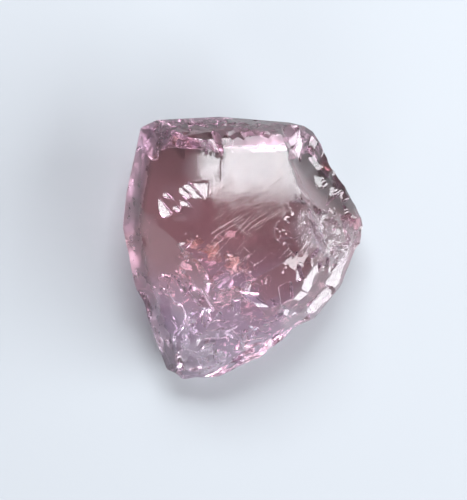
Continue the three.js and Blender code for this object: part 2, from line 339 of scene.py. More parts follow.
faces = [plane(np.zeros(3), np.array([0.0, 0.0, -1.0])), *rim_faces(), frosted_face()]
FROSTED_ID = len(faces) - 1
faces += [plane_through(points) for points in TOP_FACES.values()]
faces += [bulge(), window(), band()]
print(len(faces), "broad faces")

# %% [markdown]
# ## Finding the skin
#
# Every face can be seen from the heart of the stone, so along each way from the heart the skin is
# where the first face is met. Halving the distance again and again finds it for all ways at once.

# %% The skin along each way
def outermost(p, some):
    best = some[0](p)
    for face in some[1:]:
        np.maximum(best, face(p), out=best)
    return best


def skin_of(some, ways, start=HEART):
    low = np.zeros(len(ways))
    high = np.full(len(ways), FAR)
    while high[0] - low[0] > FINE:
        middle = (low + high) / 2
        out = outermost(start + ways * middle[:, None], some) > 0
        high = np.where(out, middle, high)
        low = np.where(out, low, middle)
    return low


def facing_at(points, some):
    slope = np.zeros_like(points)
    for k in range(3):
        step = np.zeros(3)
        step[k] = AROUND
        slope[:, k] = outermost(points + step, some) - outermost(points - step, some)
    return unit(slope)


def ball_hollow(middle, bowl, ring=0.0, pitch=1.0, blow=(0, 0, 0)):
    struck = np.array(blow, dtype=float)

    def outside(p):
        off = np.linalg.norm(p - middle, axis=1)
        ripple = 0
        if ring:
            from_blow = np.linalg.norm(p - struck, axis=1)
            ripple = (ring / 2) * np.cos(2 * np.pi * from_blow / pitch)
        return np.where(off > bowl + ring, -FAR, bowl - off + ripple)

    return outside


# %% Shell-shaped scars
broad = list(faces)
for aim, deep, bowl, *ripple in SCARS:
    way = unit(np.array([aim], dtype=float) - HEART)
    skin = HEART + way * skin_of(broad, way)[:, None]
    out = facing_at(skin, broad)
    faces.append(ball_hollow((skin + out * (bowl - deep))[0], bowl, *ripple))
print(len(SCARS), "scars struck")

# %% [markdown]
# ## Small breaks
#
# Three shapes make every small break. A bowl is the hollow of an ellipsoid, as a shell-shaped scar
# or a round chip leaves it. A notch is a flat-bottomed polygon with flat walls, as a step or a
# blade leaves it. A pit has flat sides that meet in a point: three make an angular chip, and two
# steep with two gentle ones make a stroke of hackle. Rays meet them all by a formula, so hundreds
# cost little.

# %% Places for small breaks
broad_all = list(faces)
UP, DOWN = np.array([[0.0, 0.0, 1.0]]), np.array([[0.0, 0.0, -1.0]])


def skin_over(spots, upright=UP):
    """Places on the skin over, or under, some spots in plan, and which way it faces there."""
    start = np.array([(x, y, HEART[2]) for x, y in spots])
    way = np.repeat(upright, len(start), axis=0)
    skin = start + way * skin_of(broad_all, way, start)[:, None]
    return skin, facing_at(skin, broad_all)


def along_line(corners, share):
    corners = np.array(corners, dtype=float)
    lengths = np.linalg.norm(np.diff(corners, axis=0), axis=1)
    ends = np.cumsum(lengths)
    at = share * ends[-1]
    k = min(int(np.searchsorted(ends, at)), len(lengths) - 1)
    t = (at - (ends[k] - lengths[k])) / lengths[k]
    return corners[k] + (corners[k + 1] - corners[k]) * t


def spread(count, centre, along, across, turn):
    """Spots spread evenly over an ellipse in plan."""
    r = np.sqrt(rng.random(count))
    t = rng.random(count) * 2 * np.pi
    u, v = r * np.cos(t) * along, r * np.sin(t) * across
    c, s = math.cos(math.radians(turn)), math.sin(math.radians(turn))
    return np.stack([centre[0] + u * c - v * s, centre[1] + u * s + v * c], axis=1)


rng = np.random.default_rng(SEED)
print("a spot on the top, in mm:", skin_over([(0, 0)])[0].round(2))


# %% The shapes of break
cuts = []
sides = []  # every side of every cut, as (cut, plane): a corner of the skin remembers its side


def add_cut(cut, planes=1):
    cut["first"] = len(faces) + len(sides)
    sides.extend((cut, k) for k in range(planes))
    cuts.append(cut)


def add_bowl(skin, out, size, deep, heading=0.0, ring=0.0, pitch=1.0, blow=(0, 0, 0)):
    """The hollow of an ellipsoid, size across and sunk deep, its length along a heading in plan."""
    along = np.array([math.cos(math.radians(heading)), math.sin(math.radians(heading)), 1e-3])
    along = unit(along - out * (along @ out))
    across = np.cross(out, along)
    axes = np.stack([along, across, np.cross(along, across)]) / np.array(size)[:, None]
    middle = skin + out * (size[2] - deep)
    struck = np.array(blow, dtype=float)
    add_cut({"middle": middle, "axes": axes, "ring": ring, "pitch": pitch, "blow": struck})


def facing(lean, heading):
    a, h = math.radians(lean), math.radians(heading)
    return np.array([math.sin(a) * math.cos(h), math.sin(a) * math.sin(h), math.cos(a)])


def add_notch(corners, normal, deep, wall):
    """A polygon in plan, sunk to a flat floor with its own facing; its walls lean out."""
    corners = np.array(corners, dtype=float)
    centre = corners.mean(axis=0)
    skin, _ = skin_over([centre])
    floor_at = skin[0] - normal * deep
    planes = [(normal, normal @ floor_at)]
    a = math.radians(wall)
    for start, end in zip(corners, np.roll(corners, -1, axis=0)):
        edge = end - start
        inward = unit(np.array([-edge[1], edge[0], 0.0]))
        if inward[:2] @ (centre - start) < 0:
            inward = -inward
        lean = unit(inward * math.cos(a) + normal * math.sin(a))
        height = floor_at[2] - ((start - floor_at[:2]) @ normal[:2]) / normal[2]
        planes.append((lean, lean @ np.array([*start, height])))
    normals, levels = (np.array(column) for column in zip(*planes))
    add_cut({"normals": normals, "levels": levels}, len(planes))


WIDEST_PIT = 3.0  # mm from the middle of a pit to its furthest corner


def add_pit(skin, out, deep, headings, slopes):
    """An angular pit: each flat side has a heading round the pit and a slope down to its point."""
    along = unit(np.cross(out, [0.02, 1.0, 0.01]))
    across = np.cross(out, along)
    h, a = np.radians(headings), np.radians(slopes)
    inward = along * np.cos(h)[:, None] + across * np.sin(h)[:, None]
    normals = out * np.cos(a)[:, None] + inward * np.sin(a)[:, None]
    point = skin - out * deep
    near = (skin, min(2 * deep / math.tan(a.min()), WIDEST_PIT))
    add_cut({"normals": normals, "levels": normals @ point, "near": near}, len(normals))


# %% Where rays enter a break
def inside_cone(ways, middle, widest):
    to_middle = middle - HEART
    distance = np.linalg.norm(to_middle)
    least = math.cos(math.asin(min(1, widest / distance)))
    return np.flatnonzero(ways @ (to_middle / distance) > least)


def enter_bowl(ways, cut):
    middle, axes = cut["middle"], cut["axes"]
    near = inside_cone(ways, middle, 1 / np.linalg.norm(axes, axis=1).min())
    d = ways[near] @ axes.T
    c = axes @ (middle - HEART)
    a = (d * d).sum(axis=1)
    b = d @ c
    root = b * b - a * (c @ c - 1)
    hit = root > 0
    near, enter = near[hit], (b[hit] - np.sqrt(root[hit])) / a[hit]
    if cut["ring"]:
        struck = np.linalg.norm(HEART + ways[near] * enter[:, None] - cut["blow"], axis=1)
        enter = enter + cut["ring"] / 2 * np.cos(2 * np.pi * struck / cut["pitch"])
    return near, enter, np.zeros(len(near), dtype=int)


def enter_notch(ways, cut):
    near = inside_cone(ways, *cut["near"]) if "near" in cut else np.arange(len(ways))
    rate = ways[near] @ cut["normals"].T
    start = cut["levels"] - cut["normals"] @ HEART
    at = start / np.where(np.abs(rate) < 1e-9, 1e-9, rate)
    entries = np.where(rate > 0, at, -FAR)
    side = entries.argmax(axis=1)
    enter = entries.max(axis=1)
    leave = np.where(rate < 0, at, FAR).min(axis=1)
    hit = np.flatnonzero((enter < leave) & (enter > 0))
    return near[hit], enter[hit], side[hit]


def enter(ways, cut):
    return enter_bowl(ways, cut) if "axes" in cut else enter_notch(ways, cut)


def off_side(points, side):
    cut, k = side
    if "normals" in cut:
        return points @ cut["normals"][k] - cut["levels"][k]
    scale = 1 / np.linalg.norm(cut["axes"], axis=1).max()
    return (1 - np.linalg.norm((points - cut["middle"]) @ cut["axes"].T, axis=1)) * scale


# %% Chips along the edges
CHIP_SIZES = (0.6, 1.5)  # least and most share of a chip's usual size
CHIP_LEAN = 0.3  # at most, off the way that the skin faces


def stray_lean():
    return [chance(-CHIP_LEAN, CHIP_LEAN) for _ in range(3)]


def chip(bowl, deep):
    size = chance(*CHIP_SIZES)
    return bowl * size, deep * size, stray_lean()


draws, top_spots, rim_ways = [], [], []
for corners, count, bowl, deep, stray in CHIPS:
    for i in range(count):
        x, y = along_line(corners, (i + chance()) / count)
        top_spots.append((x + chance(-stray, stray), y + chance(-stray, stray)))
        draws.append(chip(bowl, deep))
for i in range(RIM_CHIPS["count"]):
    heading = 2 * math.pi * (i + chance()) / RIM_CHIPS["count"]
    rise = (chance(RIM_CHIPS["low"], RIM_CHIPS["high"]) - HEART[2]) / RIM_CHIPS["out"]
    rim_ways.append((math.cos(heading), math.sin(heading), rise))
    draws.append(chip(RIM_CHIPS["bowl"], RIM_CHIPS["deep"]))

chip_ways = np.vstack([unit(skin_over(top_spots)[0] - HEART), unit(np.array(rim_ways))])
chip_skin = HEART + chip_ways * skin_of(broad_all, chip_ways)[:, None]
chip_out = unit(facing_at(chip_skin, broad_all) + np.array([lean for _, _, lean in draws]))
for (bowl, deep, _), skin, out in zip(draws, chip_skin, chip_out):
    add_bowl(skin, out, (bowl,) * 3, deep)
print(len(cuts), "chips")

# %% Scars under the stone, which leave it some flat lands to rest on
CALM_LEAN = 0.3  # share of the lean that a scar on the calm side keeps
turn = math.radians(UNDERSIDE["turn"])
for i in range(UNDERSIDE["count"]):
    r, t = math.sqrt(chance()), 2 * math.pi * chance()
    u, v = r * math.cos(t) * UNDERSIDE["along"], r * math.sin(t) * UNDERSIDE["across"]
    x = UNDERSIDE["centre"][0] + u * math.cos(turn) - v * math.sin(turn)
    y = UNDERSIDE["centre"][1] + u * math.sin(turn) + v * math.cos(turn)
    bowl, deep = chance(*UNDERSIDE["bowl"]), chance(*UNDERSIDE["deep"])
    lean = stray_lean()
    if y > UNDERSIDE["calm"][0]:
        deep *= UNDERSIDE["calm"][1]
        lean = [CALM_LEAN * v for v in lean]
    reach_out = math.sqrt(2 * bowl * deep) + UNDERSIDE["keep"]
    if any(math.dist((x, y), land) < reach_out for land in UNDERSIDE["lands"]):
        continue
    skin, out = skin_over([(x, y)], DOWN)
    add_bowl(skin[0], unit(out[0] + lean), (bowl,) * 3, deep)
print(len(cuts), "chips and scars")

# %% Notches: corners in plan, lean and heading of the floor, depth, lean of the walls, bruise
NOTCHES = [
    # the fan under the jagged step
    ([(-9.4, 7.9), (-8.3, 8.2), (-6.6, 6.9), (-7.0, 6.5)], 17, 88, 0.25, 12, 0.5),
    ([(-8.0, 8.3), (-7.0, 8.4), (-5.2, 6.6), (-6.2, 6.4)], 19, 95, 0.3, 12, 0.5),
    ([(-6.6, 8.5), (-4.4, 8.5), (-4.5, 6.9), (-4.9, 6.5)], 18, 90, 0.3, 12, 0.4),
    ([(-11.6, 7.2), (-10.8, 6.7), (-9.8, 5.4), (-9.2, 4.6), (-10.0, 4.1), (-10.9, 5.4)],
     19, 95, 0.35, 10, 0.5),
    ([(-10.7, 7.5), (-9.8, 7.2), (-9.1, 6.6), (-10.0, 6.7)], 18, 92, 0.3, 10, 0.5),
    ([(-8.5, 6.4), (-7.2, 6.1), (-6.4, 5.4), (-7.8, 5.6)], 18, 94, 0.3, 10, 0.5),
    ([(-9.2, 5.8), (-8.0, 5.3), (-8.2, 4.8), (-8.9, 5.1)], 19, 92, 0.3, 10, 0.5),
    # the wedge between the tooth and the frosted face
    ([(-4.3, 16.3), (-3.4, 16.4), (-2.5, 12.4), (-2.8, 11.9), (-3.3, 13.2)], 36, 172, 0.45, 8, 0.1),
    # a facet that faces away and carries painted shade, and a frosted V right of the frosted face
    ([(4.9, 16.4), (7.1, 15.7), (6.0, 14.1), (5.2, 15.0)], 52, 40, 0.8, 10, 0),
    ([(7.3, 15.5), (7.5, 15.2), (6.7, 13.6), (6.3, 13.3), (5.8, 13.9)], 33, 0, 0.3, 15, 0.9),
    ([(7.3, 15.5), (7.7, 14.8), (7.5, 13.0), (7.3, 11.7), (6.7, 12.9)], 33, -5, 0.3, 15, 0.9),
    ([(9.0, 11.5), (9.6, 11.2), (10.0, 10.5), (9.8, 10.4)], 34, -5, 0.3, 15, 0.3),
    ([(9.2, 9.8), (10.2, 9.9), (10.5, 8.2), (9.9, 8.1), (9.4, 9.0)], 34, -5, 0.35, 15, 0.6),
    ([(11.5, 9.2), (12.1, 9.2), (12.0, 7.0), (11.2, 6.6)], 36, -5, 0.3, 15, 0.3),
    ([(12.1, 8.8), (12.4, 8.6), (13.4, 6.6), (13.0, 6.4)], 38, 0, 0.3, 15, 0.4),
    # strokes that cross the hackle
    ([(5.9, 6.9), (6.5, 6.9), (9.2, 2.9), (8.9, 2.4), (8.1, 3.0)], 26, 40, 0.3, 10, 0.6),
    ([(10.4, 6.6), (11.0, 6.3), (13.4, 3.6), (12.9, 3.4)], 40, 20, 0.3, 10, 0.6),
    ([(11.4, 3.4), (11.8, 3.5), (11.2, -0.6), (10.7, -0.6)], 34, -10, 0.3, 10, 0.6),
    # blades along the lower right
    ([(6.8, -2.1), (7.3, -3.6), (6.6, -3.9)], 32, -15, 0.4, 6, 1),
    ([(9.5, -1.5), (9.7, -3.4), (8.4, -5.6), (7.2, -5.6), (7.7, -3.8)], 38, -16, 0.6, 5, 0.9),
    ([(7.5, -5.2), (8.3, -5.6), (6.9, -7.9), (4.8, -8.2), (6.2, -6.3)], 38, -30, 0.6, 5, 0.9),
    ([(9.6, -3.2), (11.6, -3.0), (10.2, -5.4), (8.3, -7.0), (8.4, -5.6)], 50, -60, 1.1, 5, 0.3),
    ([(14.0, 0.4), (14.2, -1.2), (12.8, -4.4), (11.6, -5.6), (10.6, -4.4), (11.8, -2.6)],
     40, -18, 1.0, 5, 1),
    ([(10.7, -4.4), (11.8, -5.4), (10.8, -7.0), (9.3, -8.4), (7.8, -8.0), (9.0, -6.8)],
     40, -18, 1.0, 5, 1),
    ([(14.4, 0.8), (15.1, -0.4), (13.6, -4.2), (12.6, -5.0), (13.2, -2.6)], 58, -14, 0.8, 5, 0.7),
    ([(7.2, -9.4), (8.2, -8.8), (5.6, -11.9), (3.4, -13.2), (4.8, -11.4)], 46, -50, 0.7, 5, 0.7),
    ([(4.4, -4.6), (5.9, -4.0), (6.1, -6.9), (4.9, -7.5)], 34, -60, 0.5, 5, 0),
    # steps in the lower part
    ([(-1.1, -6.6), (-0.5, -6.5), (-0.4, -8.2), (-0.6, -10.0), (-0.9, -10.0)], 18, 88, 0.3, 8, 0.8),
    ([(0.7, -5.9), (1.8, -5.9), (3.4, -7.3), (3.1, -8.0), (1.3, -7.0)], 22, 70, 0.3, 15, 0.6),
    ([(-5.4, -11.7), (-2.0, -11.3), (-1.8, -11.9), (-5.0, -12.6)], 20, 90, 0.4, 12, 0.3),
    ([(0.0, -12.0), (3.5, -11.3), (5.4, -11.3), (2.5, -12.6), (0.1, -12.6)], 30, -60, 0.3, 15, 0.6),
    ([(-3.4, -13.2), (0.9, -13.0), (-2.0, -15.0)], 45, -60, 0.5, 15, 0.2),
    ([(-9.9, -14.3), (-8.6, -14.0), (-8.4, -13.6), (-8.7, -13.7), (-10.0, -14.1)],
     40, 90, 0.4, 3, 0),
]
bruised_ids = {}
for corners, lean, heading, deep, wall, bruise in NOTCHES:
    add_notch(corners, facing(lean, heading), deep, wall)
    bruised_ids[cuts[-1]["first"]] = bruise
print(len(NOTCHES), "notches")


# %% Bowls of many sizes
def several(count, low, high):
    return rng.uniform(low, high, count)


def strewn(spots, upright, tilt):
    """Places on the skin at some spots in plan, each facing a little astray."""
    skins, outs = skin_over(spots, upright)
    return skins, unit(outs + rng.uniform(-tilt, tilt, (len(spots), 3)))


def round_bowls(spots, bowl, deep, upright=UP, tilt=0.0, ring=0.0):
    """Hollows a little longer or wider than round; every third is rippled where ring says so."""
    count = len(spots)
    size = several(count, *bowl)
    widths = size * several(count, 0.7, 1.3)
    deeps, headings = several(count, *deep), several(count, 0, 180)
    for k, (skin, out) in enumerate(zip(*strewn(spots, upright, tilt))):
        blow = skin + rng.uniform(-6, 6, 3) if ring else (0, 0, 0)
        shape = (size[k], widths[k], size[k])
        ripple = ring * (k % 3 == 0), 1.2 + 0.2 * (k % 5), blow
        add_bowl(skin, out, shape, deeps[k], headings[k], *ripple)


# pits that catch a point of light each
PITS = [
    (-5.2, -0.1), (-7.7, -0.8), (-5.4, -1.1), (-5.5, -2.2), (-8.4, -3.3), (-7.1, -4.5),
    (-5.7, -5.5), (-0.7, -2.9), (0.9, -2.6), (-1.8, -0.5), (-5.7, 1.9),
]
round_bowls(PITS, (0.5, 0.8), (0.1, 0.2))
round_bowls([(-7.2, 1.2)], (1.5, 1.6), (0.45, 0.5))


# %% Angular pits and strokes
STEEP, GENTLE = (16, 46), (5, 12)  # degrees of slope of a stroke's sides and of its ends
STROKE_STRAY, CHIP_STRAY = 12, 35  # degrees, at most, that a flat side turns off its heading


def add_pits(spots, deeps, headings, slopes, upright=UP, tilt=0.0):
    for skin, out, *shape in zip(*strewn(spots, upright, tilt), deeps, headings, slopes):
        add_pit(skin, out, *shape)


def angular(spots, deep, slope, **more):
    """Chips with three flat sides each."""
    count = len(spots)
    headings = several(count, 0, 360)[:, None] + [0, 120, 240]
    headings = headings + rng.uniform(-CHIP_STRAY, CHIP_STRAY, (count, 3))
    add_pits(spots, several(count, *deep), headings, rng.uniform(*slope, (count, 3)), **more)


def strokes(spots, deep, headings, **more):
    """Grooves with two steep sides and two gentle ends."""
    count = len(spots)
    headings = np.asarray(headings)[:, None] + [90, 270, 0, 180]
    headings = headings + rng.uniform(-STROKE_STRAY, STROKE_STRAY, (count, 4))
    slopes = np.column_stack([rng.uniform(*STEEP, (count, 2)), rng.uniform(*GENTLE, (count, 2))])
    add_pits(spots, several(count, *deep), headings, slopes, **more)


# hackle on the right shoulder
HACKLE_COUNT = 520
main_run = rng.random(HACKLE_COUNT) < 0.6
mostly = np.where(main_run, several(HACKLE_COUNT, 40, 90), several(HACKLE_COUNT, 90, 180))
strokes(spread(HACKLE_COUNT, (10.4, 1.9), 4.9, 3.3, -25), (0.04, 0.13), mostly, tilt=0.35)


def spots_along(corners, count, stray, squeeze=1.0):
    """Spots along a line of corners in plan, with a stray to either side of it."""
    shares = rng.random(count)
    return [along_line(corners, share) + rng.normal(0, stray, 2) * squeeze for share in shares]


# crumbs along the flat end, on the tooth, and along the lower back edge
crumb_line = [(-12.4, 13.2), (-11.6, 14.6), (-9, 15.7), (-4, 15.9), (4.4, 15.7)]
angular(spots_along(crumb_line, 240, 0.5, (0.7, 1)), (0.02, 0.1), (8, 30), tilt=0.3)
tooth_line = [(-6.2, 15.6), (-4.9, 14.0), (-4.3, 12.6), (-3.3, 11.6)]
angular(spots_along(tooth_line, 24, 0.35), (0.02, 0.06), (8, 22), tilt=0.2)
back_line = [(-10.5, 12.6), (-4.0, 13.2), (6.0, 12.8), (9.5, 11.0)]
angular(spots_along(back_line, 60, 0.5), (0.04, 0.14), (6, 18), upright=DOWN, tilt=0.2)

# small breaks on the underside
under = {"upright": DOWN, "tilt": 0.15}
angular(spread(30, (-1.0, -9.5), 6.0, 4.6, -60), (0.08, 0.4), (8, 22), **under)
strokes(spread(20, (-0.5, -9.0), 6.0, 4.6, -60), (0.08, 0.25), several(20, 0, 180), **under)

# faint strokes on the left dome
strokes(spread(16, (-10.8, -1.2), 3.6, 2.0, -60), (0.04, 0.09), several(16, 100, 150), tilt=0.1)

# shallow breaks over the lower part of the top
angular(spread(46, (-2.6, -10.4), 7.0, 4.6, -60), (0.06, 0.3), (7, 24), tilt=0.12)
strokes(spread(36, (-1.5, -10.6), 6.4, 4.0, -60), (0.05, 0.16), several(36, 40, 130), tilt=0.15)
round_bowls(spread(12, (-3.0, -10.5), 7.0, 4.6, -60), (1.6, 5.0), (0.06, 0.22), tilt=0.2, ring=0.06)
print(len(cuts), "breaks in all")

# %% [markdown]
# ## The fine ball
#
# A geodesic ball has even triangles. Each face of an icosahedron is cut in small ones, and corners
# that neighbours share are merged.

# %% A geodesic ball
def geodesic(frequency):
    golden = (1 + 5**0.5) / 2
    corners = [(-1, golden, 0), (1, golden, 0), (-1, -golden, 0), (1, -golden, 0)]
    corners += [(0, x, z) for z in (golden, -golden) for x in (-1, 1)]
    corners += [(x, 0, z) for x in (golden, -golden) for z in (-1, 1)]
    corners = np.array(corners)
    sides = [(0, 11, 5), (0, 5, 1), (0, 1, 7), (0, 7, 10), (0, 10, 11), (1, 5, 9), (5, 11, 4)]
    sides += [(11, 10, 2), (10, 7, 6), (7, 1, 8), (3, 9, 4), (3, 4, 2), (3, 2, 6), (3, 6, 8)]
    sides += [(3, 8, 9), (4, 9, 5), (2, 4, 11), (6, 2, 10), (8, 6, 7), (9, 8, 1)]
    n = frequency
    rows = [(i, j) for i in range(n + 1) for j in range(n + 1 - i)]
    number = {spot: k for k, spot in enumerate(rows)}
    tris = []
    for i, j in rows:
        if i + j < n:
            tris.append((number[i, j], number[i + 1, j], number[i, j + 1]))
        if i + j < n - 1:
            tris.append((number[i + 1, j], number[i + 1, j + 1], number[i, j + 1]))
    share = np.array([(n - i - j, i, j) for i, j in rows]) / n
    tris = np.array(tris)
    points = np.vstack([share @ corners[list(side)] for side in sides])
    triangles = np.vstack([tris + k * len(rows) for k in range(len(sides))])
    keys = np.round(points, 6)
    _, first, inverse = np.unique(keys, axis=0, return_index=True, return_inverse=True)
    return unit(points[first]), inverse.reshape(-1)[triangles]


ball, triangles = geodesic(DETAIL)
ways = unit(ball * PROPORTIONS + TOWARDS)
print(len(ways), "corners,", len(triangles), "triangles")

# %% [markdown]
# ## Letting the ball down onto the faces
#
# For each corner the nearest face along its way wins. Where two neighbours lie on different faces a
# ridge runs between them, and the nearer one is moved onto it, so that ridges stay sharp.

# %% Reach of every corner
def let_down(ways):
    reach = skin_of(faces, ways)
    points = HEART + ways * reach[:, None]
    owner = np.zeros(len(ways), dtype=int)
    best = faces[0](points)
    for k, face in enumerate(faces[1:], 1):
        off = face(points)
        higher = off > best
        owner[higher] = k
        best = np.where(higher, off, best)
    for cut in cuts:
        near, at, side = enter(ways, cut)
        nearer = at < reach[near]
        reach[near[nearer]] = at[nearer]
        owner[near[nearer]] = cut["first"] + side[nearer]
    return reach, owner


def off_owner(points, owner):
    """How far each point lies outside the face that it is asked about."""
    off = np.empty(len(points))
    order = np.argsort(owner, kind="stable")
    ids, starts = np.unique(owner[order], return_index=True)
    for k, chosen in zip(ids, np.split(order, starts[1:])):
        own = points[chosen]
        off[chosen] = faces[k](own) if k < len(faces) else off_side(own, sides[k - len(faces)])
    return off


def sharpen(ways, reach, owner):
    points = HEART + ways * reach[:, None]
    pairs = np.vstack([triangles[:, [0, 1]], triangles[:, [1, 2]], triangles[:, [2, 0]]])
    pairs = pairs[owner[pairs[:, 0]] != owner[pairs[:, 1]]]
    a, b = pairs.T
    from_a = -off_owner(points[a], owner[b])
    from_b = -off_owner(points[b], owner[a])
    good = (from_a >= 0) & (from_b >= 0) & (from_a + from_b > 0) & (from_a + from_b < 2)
    a, b, share = a[good], b[good], from_a[good] / (from_a + from_b)[good]
    ends = np.concatenate([a, b])
    others = np.concatenate([b, a])
    shares = np.concatenate([share, 1 - share])
    order = np.argsort(-shares, kind="stable")
    best_share = np.full(len(ways), 0.5)
    towards = np.arange(len(ways))
    best_share[ends[order]] = shares[order]
    towards[ends[order]] = others[order]
    moved = best_share < 0.5
    new = ways.copy()
    new[moved] += (ways[towards[moved]] - ways[moved]) * best_share[moved, None]
    return unit(new)


reach, owner = let_down(ways)
ways = sharpen(ways, reach, owner)
reach, owner = let_down(ways)
points = HEART + ways * reach[:, None]
print("raw skin in mm:", points.min(0).round(2), points.max(0).round(2))

# %% [markdown]
# ## Flaws inside
#
# Quartz that broke has healed cracks in it: thin pockets of air that flash when they lie aslant,
# and veils, which are wider and rougher. Each is a thin closed shell with its faces turned inward
# to the air, so that a ray leaves the crystal on one side of it and comes back in on the other.
# Nothing tests the pockets against each other or against the skin, so some of them cross, and one
# fleck beside the tip lies mostly outside the stone.

# %% Thin pockets of air
def pockets(places, sizes, leans, headings, turns, frequency):
    """Thin shells: size is length, width and thickness; lean is the tilt of the flat side."""
    ball, tris = geodesic(frequency)
    made_points, made_tris = [], []
    for place, size, lean, heading, turn in zip(places, sizes, leans, headings, turns):
        normal = facing(lean, heading)
        along = unit(np.cross(normal, [0.3, 0.2, 1.0]) + 1e-6)
        across = np.cross(normal, along)
        c, s = math.cos(math.radians(turn)), math.sin(math.radians(turn))
        along, across = along * c + across * s, across * c - along * s
        bumps = 1 + 0.3 * np.sin(ball @ rng.uniform(-4, 4, 3) + rng.uniform(0, 6))
        local = ball * (np.array(size) / 2) * bumps[:, None]
        bend = 0.12 * (local[:, 0] ** 2 / size[0] + local[:, 1] ** 2 / size[1]) * rng.uniform(-1, 1)
        local[:, 2] += bend
        made_tris.append(tris[:, ::-1] + sum(len(p) for p in made_points))
        made_points.append(np.array(place) + local @ np.stack([along, across, normal]))
    return np.vstack(made_points), np.vstack(made_tris)


def deep_spots(count, centre, along, across, turn, low, high):
    """Spots from a share low to a share high of the way from the heart's height to the top.

    One whose place in plan is past the skin at that height stays there, outside the stone."""
    spots = spread(count, centre, along, across, turn)
    top, _ = skin_over(spots)
    rise = rng.uniform(low, high, count)
    return np.column_stack([spots, HEART[2] + (top[:, 2] - HEART[2]) * rise])


THIN = 0.05  # mm


def thin_sizes(count, lengths, widths):
    long, wide = several(count, *lengths), several(count, *widths)
    return np.column_stack([long, wide, np.full(count, THIN)])


fleck_places = np.vstack(
    [
        deep_spots(14, (-5.4, -2.8), 4.0, 2.6, -50, 0.1, 0.8),
        deep_spots(24, (-2.6, -9.6), 5.5, 4.0, -60, -0.3, 0.8),
    ]
)
count = len(fleck_places)
flecks = pockets(
    fleck_places,
    thin_sizes(count, (0.5, 1.8), (0.25, 0.9)),
    several(count, 15, 60),
    several(count, 0, 360),
    several(count, 0, 180),
    3,
)
VEILS = [  # centre, half length, half width, lean, heading, turn, sheets
    ((-2.9, -1.2, 12.0), 4.6, 0.5, 22, 80, -31, 26),
    ((-8.0, -4.0, 9.5), 2.6, 0.8, 38, 150, 30, 8),
    ((-3.0, -10.5, 8.5), 2.8, 1.0, 42, -40, 60, 8),
    ((3.4, -7.0, 8.5), 2.6, 0.9, 40, -120, 20, 6),
]
sheets = []
for centre, half_length, half_width, lean, heading, turn, count in VEILS:
    normal = facing(lean, heading)
    spots = spread(count, (0, 0), half_length, half_width, turn)
    rise = -(spots @ normal[:2]) / normal[2] + rng.normal(0, 0.1, count)
    places = np.array(centre) + np.column_stack([spots, rise])
    sizes = thin_sizes(count, (0.8, 2.4), (0.25, 0.8))
    leans, headings = lean + several(count, -8, 8), heading + several(count, -20, 20)
    sheets.append((places, sizes, leans, headings, several(count, 0, 180)))
veils = pockets(*(np.concatenate(rows) for rows in zip(*sheets)), 4)
print(len(flecks[1]), "triangles of flecks,", len(veils[1]), "of veils")

# %% The stone's mesh
middle = (points.min(0) + points.max(0)) / 2
shift = np.array([-middle[0], -middle[1], -points[:, 2].min()])
skin_count, fleck_count, skin_triangles = len(points), len(flecks[0]), triangles
triangles = np.vstack([triangles, flecks[1] + skin_count, veils[1] + skin_count + fleck_count])
points = np.vstack([points, flecks[0], veils[0]]) + shift


def mesh_object(name, points, triangles):
    mesh = bpy.data.meshes.new(name)
    mesh.vertices.add(len(points))
    mesh.vertices.foreach_set("co", (points * MM).astype(np.float32).ravel())
    mesh.loops.add(3 * len(triangles))
    mesh.loops.foreach_set("vertex_index", triangles.astype(np.int32).ravel())
    mesh.polygons.add(len(triangles))
    mesh.polygons.foreach_set("loop_start", np.arange(0, 3 * len(triangles), 3, dtype=np.int32))
    mesh.update()
    mesh.validate()
    made = bpy.data.objects.new(name, mesh)
    bpy.context.scene.collection.objects.link(made)
    return made


SHARP_ANGLE = 16  # degrees between neighbours, over which their edge is a ridge
stone = mesh_object("crystal", points, triangles)
stone.data.polygons.foreach_set("use_smooth", np.ones(len(triangles), dtype=bool))
stone.data.set_sharp_from_angle(angle=math.radians(SHARP_ANGLE))
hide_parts("amethyst")
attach(stone, "root")


# %% Where the skin is frosted and bruised, and where shade is painted
FROSTED_SHARE = 0.16
ROUGHER = [  # centre in plan, half length, half width, turn, share of frost, paleness
    ((10.6, 1.9), 5.8, 3.9, -25, 0.2, 1.0),  # hackle
    ((9.0, 9.0), 6.0, 4.6, -60, 0.1, 0.45),  # right shoulder
    ((7.0, 13.6), 1.4, 2.6, 20, 0.3, 0.3),  # the frosted V
    ((-3.0, 15.8), 10.5, 1.5, 0, 0.16, 0.1),  # crumbled rim
    ((-4.7, 13.7), 2.6, 0.9, -52, 0.6, 0.6),  # the tooth
    ((10.0, -5.0), 9.0, 3.4, 52, 0.25, 1.0),  # blades
    ((-6.6, -14.6), 5.6, 3.8, 0, 0.6, 1.0),  # tip
    ((-3.0, -10.0), 9.0, 6.0, -60, 0.25, 0.5),  # lower part
    ((-8.0, 6.0), 3.8, 2.4, -40, 0.1, 0.3),  # fan
    ((-4.8, 10.4), 3.6, 3.0, 0, 0.3, 0.5),  # the window's bright end
    ((1.2, 11.4), 4.6, 4.0, 0, 0.16, 0.3),  # upper part of the frosted face
]
HACKLED = ((10.6, 1.9), 5.6, 3.9, -25)
# painted shade: a dark tint laid into the colour along parts of the rim, standing for the dark
# surroundings seen through these faces
PAINTED_SHADE_ZONES = [  # corners in plan, reach, share of darkness and of frost
    ([(-14.0, 16.2), (-15.6, 7.4), (-15.8, 4.5)], 3.6, 1.0, 1.0),
    ([(-13.4, 12.8), (-11.0, 15.0)], 2.4, 0.9, 0.8),
    ([(-6.4, 15.4), (-3.4, 12.2)], 1.7, 0.45, 0.3),
    ([(-2.6, 14.7), (5.6, 14.7)], 1.9, 0.6, 0.9),
    ([(-15.8, 4.5), (-14.3, -4.4), (-10.5, -14.8)], 2.8, 0.8, 0.9),
    ([(-13.0, 16.6), (-11.2, 17.0), (-3.0, 17.3), (6.0, 16.6)], 2.4, 0.8, 0.3),
    ([(6.4, 15.4), (9.4, 11.7), (13.6, 7.6)], 3.4, 0.85, 0.2),
]


